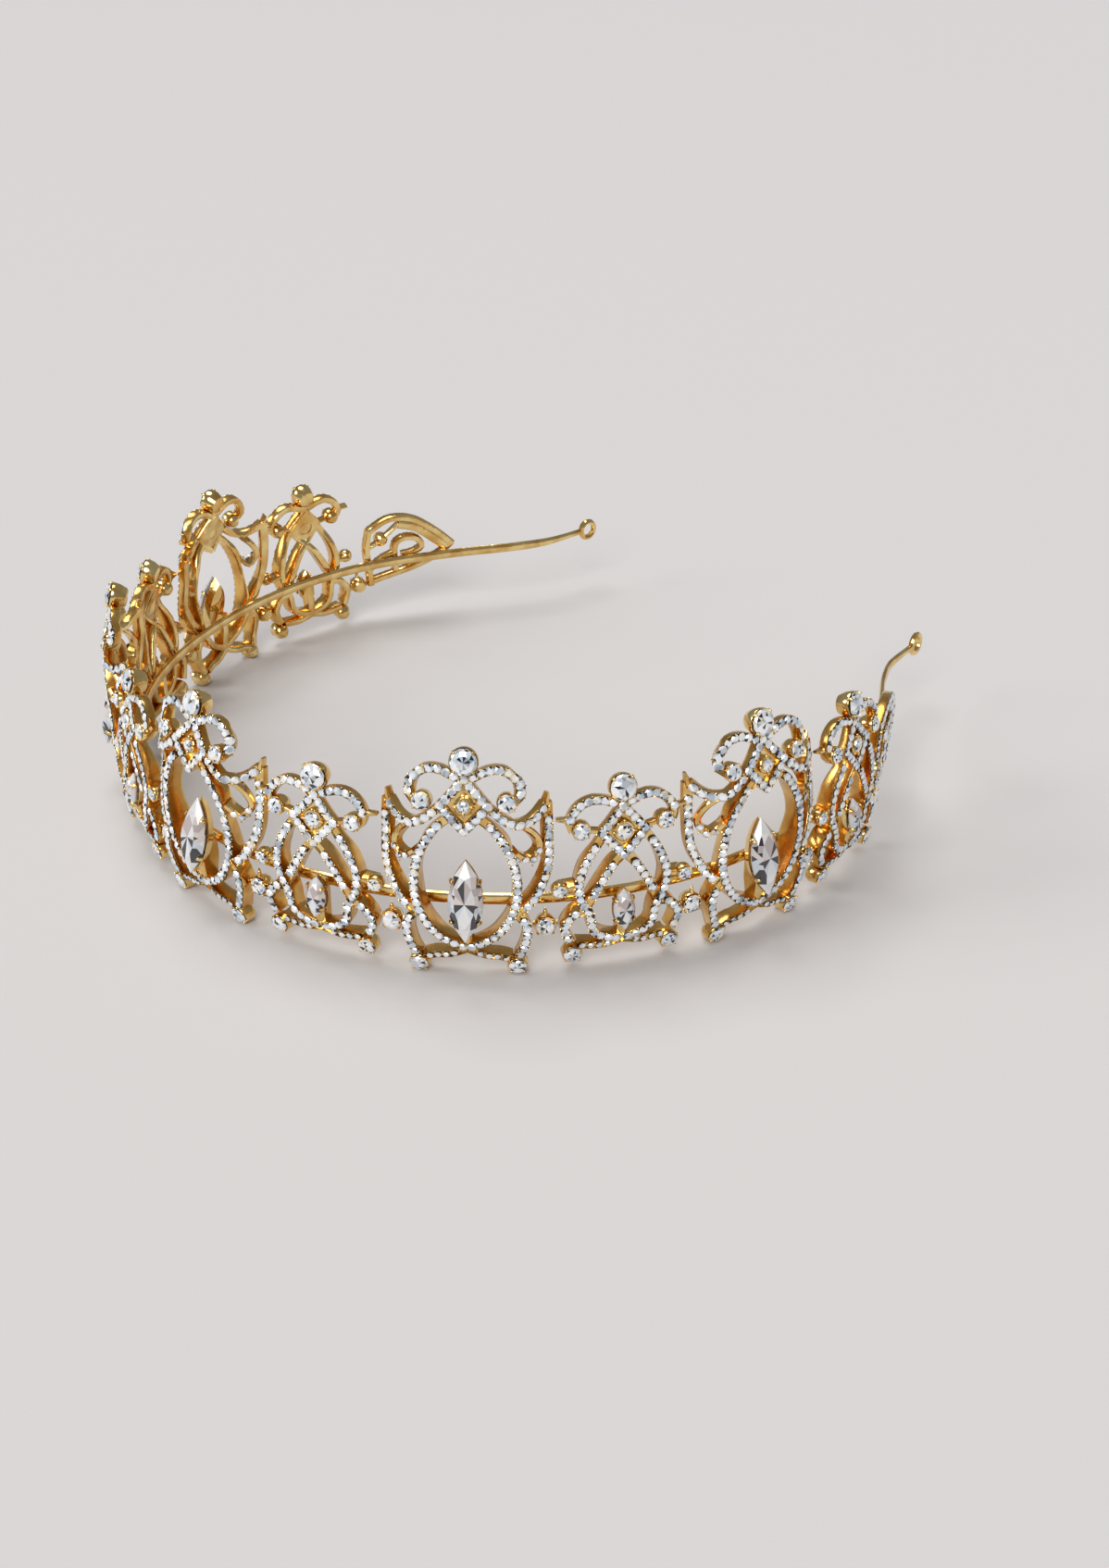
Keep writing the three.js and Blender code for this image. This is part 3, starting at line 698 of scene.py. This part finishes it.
leaf_arch = [(-9.6, 21.2), (-5.4, 23.3), (-1.8, 23.5), (1.4, 22.6), (4.2, 20.9), (7.4, 18.3), (9.9, 15.9)]
leaf_blade = [(-2.4, 22.2), (1.0, 21.2), (3.7, 19.5), (6.5, 17.2), (8.6, 15.4)]
leaf_edge = [(9.8, 16.3), (7.3, 14.2), (3.6, 12.5), (-0.6, 11.2), (-4.6, 10.4), (-9.2, 9.5)]
leaf_stalk = [(-9.4, 21.6), (-10.2, 17.0), (-9.8, 12.6), (-9.5, 8.6)]
leaf_curl = [(-2.0, 14.6), (1.0, 15.0), (2.9, 16.4), (1.4, 18.3), (-1.6, 18.6), (-3.5, 16.8), (-3.4, 11.2)]
leaf_strut = [(-9.7, 12.4), (-6.4, 14.4), (-3.6, 15.4)]
leaf_vein = [(-9.8, 17.4), (-6.6, 19.0), (-2.4, 22.2)]
blade_width = 2.2


def end_leaf():
    work = Setting()
    work.cup(-6.6, 19.0, scroll_stone_radius, depth=2.0, lift=0.3)
    for corners in (leaf_arch, leaf_edge, leaf_stalk, leaf_curl, leaf_strut):
        channel_rib(work.metal, corners)
    solid_rib(work.metal, leaf_blade, width=blade_width)
    solid_rib(work.metal, leaf_vein)
    work.row(leaf_arch, 0.2, 0.2)
    work.row([(x - 0.2, y - 0.3) for x, y in leaf_blade], 0.3, 0.9)
    for corners in (leaf_edge, leaf_stalk, leaf_curl, leaf_strut):
        work.row(corners, 0.3, 0.3)
    return work


def tail_out(x):
    return table_value(tail_run, x * band_radius / face_radius)


leaf_work = end_leaf()
for side, name in ((1, "R"), (-1, "L")):
    metal, stones = leaf_work.metal.copy(), leaf_work.stones.copy()
    mark_sides(metal)
    tint_facets(stones, random.Random(200 + side))
    for shape in (metal, stones):
        bmesh.ops.scale(shape, vec=(side, 1, 1), verts=shape.verts)
        bend(shape, side * last_angle, lambda x, y: tail_out(side * x), band_out=lambda x: tail_out(side * x))
    piece(f"leaf_casting_{name}", metal, [casting_gilt, shaded_side_gilt], f"end_leaf_{name}")
    piece(f"leaf_stones_{name}", stones, [small_glass], f"end_leaf_{name}", sharp=5)


# ---- The marquise crystals and their settings ----
# A pointed oval of clear glass with a mirrored back, in a boat-shaped gilt cup with a closed back.
# Two claws on each long side hold it, and the cup comes to a point at each end. The cup leans back a little.

claw_spread = 0.5
setting_gilt = gilt("polished gilt setting", surface, gilt_pale, gilt_deep, 500, 0.0001, 0.07)


def clear_glass():
    """Cut glass with a silvered back: part clear, and the colour of each facet is a painted reflection from its tone.
    """
    material = bpy.data.materials.new("clear cut glass")
    material.use_nodes = True
    tree = material.node_tree
    shader = tree.nodes["Principled BSDF"]
    shader.inputs["Roughness"].default_value = 0.03
    shader.inputs["IOR"].default_value = 1.6
    shader.inputs["Transmission Weight"].default_value = 0.3
    shader.inputs["Coat Weight"].default_value = 0.6
    shader.inputs["Coat Roughness"].default_value = 0.02
    tone = node(tree, "ShaderNodeAttribute", attribute_name="tone")
    tree.links.new(tone.outputs["Color"], shader.inputs["Base Color"])
    return material


glass = clear_glass()
white, dark = (0.98, 0.98, 0.98), (0.03, 0.03, 0.04)
cool, blush, peach = (0.78, 0.84, 0.9), (0.62, 0.53, 0.51), (0.88, 0.79, 0.74)

# The painted reflections in a marquise's facets, round one side from its lower point to its upper point.
inner_painted_reflections = [white, dark, cool, dark, peach, blush, peach, blush]
outer_painted_reflections = [white, dark, dark, cool, peach, blush, peach, white]


def to_marquise(shape, stretch):
    """Turns a round of radius 1 into two arcs that meet in points."""
    arc = (1 + stretch * stretch) / 2
    for corner in shape.verts:
        radius = corner.co.to_2d().length
        if radius < 1e-6:
            continue
        back = (arc - 1) * abs(corner.co.x) / radius
        reach = math.sqrt(back * back + 2 * arc - 1) - back
        corner.co.x *= reach
        corner.co.y *= reach


def set_on_face(angle, height, proud, lean=0):
    radius = face_radius + proud
    return (Matrix.Translation((radius * math.sin(angle), ring_centre_y - radius * math.cos(angle), height))
            @ Matrix.Rotation(angle, 4, "Z") @ Matrix.Rotation(math.radians(90 - lean), 4, "X"))


# Each facet gets a painted reflection by where it lies round the stone, and about one in six gets a bright or dark
# one at random.
def tint_marquise(shape, half_width, chance):
    layer = shape.loops.layers.float_color.new("tone")
    for face in shape.faces:
        middle = face.calc_center_median()
        around = math.atan2(abs(middle.x), -middle.y / 2)
        tones = inner_painted_reflections if face.normal.z > 0.99 else outer_painted_reflections
        tone = tones[min(int(around / math.pi * len(tones)), len(tones) - 1)]
        if chance.random() < 0.16:
            tone = chance.choice([white, dark, cool])
        for loop in face.loops:
            loop[layer] = (*tone, 1)


def marquise_crystal(half_length, half_width, crown, pavilion):
    sides = 16
    shape = turned([(0, -pavilion), (0.5, -pavilion * 0.62), (1, -0.12), (1, 0.12), (0.8, crown * 0.62),
                    (0.6, crown), (0, crown)], sides)
    for height in (-pavilion * 0.62, crown * 0.62):
        ring = [corner for corner in shape.verts
                if abs(corner.co.z - height) < 1e-4 and corner.co.to_2d().length > 0.01]
        bmesh.ops.rotate(shape, verts=ring, cent=(0, 0, 0), matrix=Matrix.Rotation(math.pi / sides, 3, "Z"))
    to_marquise(shape, half_length / half_width)
    bmesh.ops.scale(shape, vec=(half_width, half_width, 1), verts=shape.verts)
    bmesh.ops.triangulate(shape, faces=[face for face in shape.faces if len(face.verts) == 4])
    bmesh.ops.recalc_face_normals(shape, faces=shape.faces)
    return shape


def marquise_setting(half_length, half_width, crown, pavilion):
    stretch = half_length / half_width
    inner = half_width * 0.89
    outer = inner + 0.3
    floor = -pavilion - 0.3
    shape = turned([(0, floor - 0.3), (outer * 0.6, floor - 0.3), (outer * 0.84, floor + 0.1), (outer, -0.75),
                    (outer - 0.05, -0.6), (inner, -0.6), (inner * 0.75, floor), (0, floor)], 32)
    to_marquise(shape, stretch)
    claw = bmesh.new()
    bmesh.ops.create_icosphere(claw, subdivisions=2, radius=0.5)
    arc = (half_length ** 2 + half_width ** 2) / (2 * half_width)
    along = half_length * claw_spread
    edge = math.sqrt(arc * arc - along * along) - arc + half_width
    tangent = math.asin(along / arc)
    for end in (-1, 1):
        for side in (-1, 1):
            add(shape, claw, Matrix.Translation((side * (edge + 0.08), end * along, 0.1))
                @ Matrix.Rotation(end * side * tangent, 4, "Z")
                @ Matrix.Rotation(-side * 0.35, 4, "Y") @ Matrix.Diagonal((0.6, 0.85, 1.7, 1)))
    claw.free()
    return shape


crystals = {
    "large": {"size": (6.9, 2.8, 1.5, 1.9), "at": (15.0, 2.65, 13), "crests": (-4, -2, 0, 2, 4)},
    "small": {"size": (3.6, 1.8, 1.0, 1.3), "at": (11.6, 2.0, 10), "crests": (-5, -3, -1, 1, 3, 5)},
}
for kind, facts in crystals.items():
    for index in facts["crests"]:
        name = side_name(index)
        place = set_on_face(at_crest(index), *facts["at"])
        stone = marquise_crystal(*facts["size"])
        tint_marquise(stone, facts["size"][1], random.Random(300 + index))
        stone.transform(place)
        piece(f"{kind}_marquise_{name}", stone, [glass],
              f"{kind}_crystal_{name}", sharp=5)
        cup = marquise_setting(*facts["size"])
        cup.transform(place)
        piece(f"{kind}_setting_{name}", cup, [setting_gilt],
              f"{kind}_crystal_setting_{name}")


# ---- The top chatons ----
# One round stone, 4.3 mm across, in a deep gilt cup with four claws, soldered on each crest.

top_stone_radius = 2.15
chaton_depth = 3.2
chaton_proud = 0.7
crest_lean = 16


def brilliant(radius, chance):
    """A round brilliant with a silvered back."""
    shape = round_stone(12, -0.62, [(0.55, -0.34), (1, -0.04), (1, 0.04), (0.84, 0.2), (0.52, 0.34)])
    bmesh.ops.scale(shape, vec=(radius, radius, radius), verts=shape.verts)
    tint_facets(shape, chance)
    return shape


def chaton_cup(radius, depth):
    wall = radius + 0.2
    shape = turned([(0, -depth), (wall * 0.55, -depth), (wall * 0.74, -depth + 0.25), (wall * 0.95, -depth * 0.5),
                    (wall, -0.4), (wall - 0.06, -0.28), (radius * 0.99, -0.28), (radius * 0.9, -0.5),
                    (radius * 0.5, -radius * 0.66), (0, -radius * 0.75)], 28)
    claw = bmesh.new()
    bmesh.ops.create_icosphere(claw, subdivisions=2, radius=0.3)
    for k in range(4):
        add(shape, claw, Matrix.Rotation(math.radians(45 + 90 * k), 4, "Z")
            @ Matrix.Translation((radius * 1.03, 0, 0.0)) @ Matrix.Rotation(-0.3, 4, "Y")
            @ Matrix.Diagonal((0.8, 0.9, 1.9, 1)))
    claw.free()
    return shape


for index in range(-crest_each_side, crest_each_side + 1):
    name = side_name(index)
    height, relief = (short_height, short_relief) if index % 2 else (tall_height, tall_relief)
    place = set_on_face(at_crest(index), height, relief(0, height) + chaton_proud, crest_lean)
    stone = brilliant(top_stone_radius, random.Random(400 + index))
    stone.transform(place)
    piece(f"top_stone_{name}", stone, [small_glass], f"top_chaton_{name}", sharp=5)
    cup = chaton_cup(top_stone_radius, chaton_depth)
    cup.transform(place)
    piece(f"top_cup_{name}", cup, [setting_gilt], f"top_chaton_{name}")


# ---- The link chatons ----
# A round stone, 3.3 mm across, claw-set in a small cup, soldered between each casting and the next
# by two short arms. A small gold point stands above it.

link_stone_radius = 1.65
link_level = 8.9
link_proud = 0.8
link_depth = 2.6
foot_edge = 9.5 + rib_width / 2

for index in range(-crest_each_side, crest_each_side + 2):
    name = f"L{1 - index}" if index <= 0 else f"R{index}"
    place = set_on_face((index - 0.5) * step_angle, link_level, link_proud)
    stone = brilliant(link_stone_radius, random.Random(500 + index))
    stone.transform(place)
    piece(f"link_stone_{name}", stone, [small_glass], f"link_chaton_{name}", sharp=5)
    cup = chaton_cup(link_stone_radius, link_depth)
    reach = motif_pitch / 2 - foot_edge - 0.1
    bar = bmesh.new()
    sweep(bar, [(0.55 * math.cos(math.radians(45 * k)), 0.55 * math.sin(math.radians(45 * k)), 0)
                for k in range(8)],
          [Matrix.Translation((x, 0, -1.1)) @ Matrix.Rotation(math.pi / 2, 4, "Y")
           for x in (-reach, -reach / 2, reach / 2, reach)])
    add(cup, bar)
    tip = turned([(0, -0.3), (0.42, -0.2), (0.36, 0.6), (0, 1.5)], 10)
    add(cup, tip, Matrix.Translation((0, link_stone_radius + 0.35, -0.6)) @ Matrix.Rotation(-math.pi / 2, 4, "X"))
    cup.transform(place)
    piece(f"link_cup_{name}", cup, [setting_gilt], f"link_chaton_{name}")


# ---- The studio ----
# A plain pale floor, a wide soft lamp from above, and two from the front, right and left, that light
# the stones. The tiara stands on its drop stones.

def pale_floor():
    material = bpy.data.materials.new("pale floor")
    material.use_nodes = True
    tree = material.node_tree
    shader = tree.nodes["Principled BSDF"]
    shader.inputs["Roughness"].default_value = 0.9
    shader.inputs["Specular IOR Level"].default_value = 0.2
    shader.inputs["Base Color"].default_value = (0.65, 0.625, 0.61, 1)
    return material


floor_mesh = bpy.data.meshes.new("floor")
floor_shape = bmesh.new()
bmesh.ops.create_circle(floor_shape, cap_ends=True, segments=96, radius=8)
floor_shape.to_mesh(floor_mesh)
floor_mesh.materials.append(pale_floor())
floor = bpy.data.objects.new("floor", floor_mesh)
bpy.context.scene.collection.objects.link(floor)


# Each lamp is far away, and its angle says how wide it looks from the floor.
def soft_lamp(name, place, width, strength):
    lamp = bpy.data.lights.new(name, "SUN")
    lamp.angle = math.radians(width)
    lamp.energy = strength
    lamp_object = bpy.data.objects.new(name, lamp)
    lamp_object.location = place
    lamp_object.rotation_euler = Vector(place).to_track_quat("Z", "Y").to_euler()
    bpy.context.scene.collection.objects.link(lamp_object)


soft_lamp("key", (-0.4, 0.1, 1.1), 34, 1.25)
soft_lamp("front", (0.5, -0.8, 0.75), 34, 1.65)
soft_lamp("side", (-0.6, -0.75, 0.5), 24, 0.85)

world = bpy.data.worlds.new("studio")
bpy.context.scene.world = world
world.use_nodes = True
world.node_tree.nodes["Background"].inputs["Color"].default_value = (0.93, 0.95, 1.0, 1)
world.node_tree.nodes["Background"].inputs["Strength"].default_value = 0.27

camera = bpy.data.cameras.new("camera")
camera.lens = 42.25
camera.sensor_width = 36
camera.clip_start = 0.01
camera_object = bpy.data.objects.new("camera", camera)
camera_object.location = (0.2235, -0.2241, 0.1752)
pitch = math.radians(29.79)
looking = Vector((-0.6841 * math.cos(pitch), 0.7294 * math.cos(pitch), -math.sin(pitch)))
camera_object.rotation_euler = looking.to_track_quat("-Z", "Y").to_euler()
bpy.context.scene.collection.objects.link(camera_object)
bpy.context.scene.camera = camera_object
bpy.context.scene.view_settings.view_transform = "Standard"
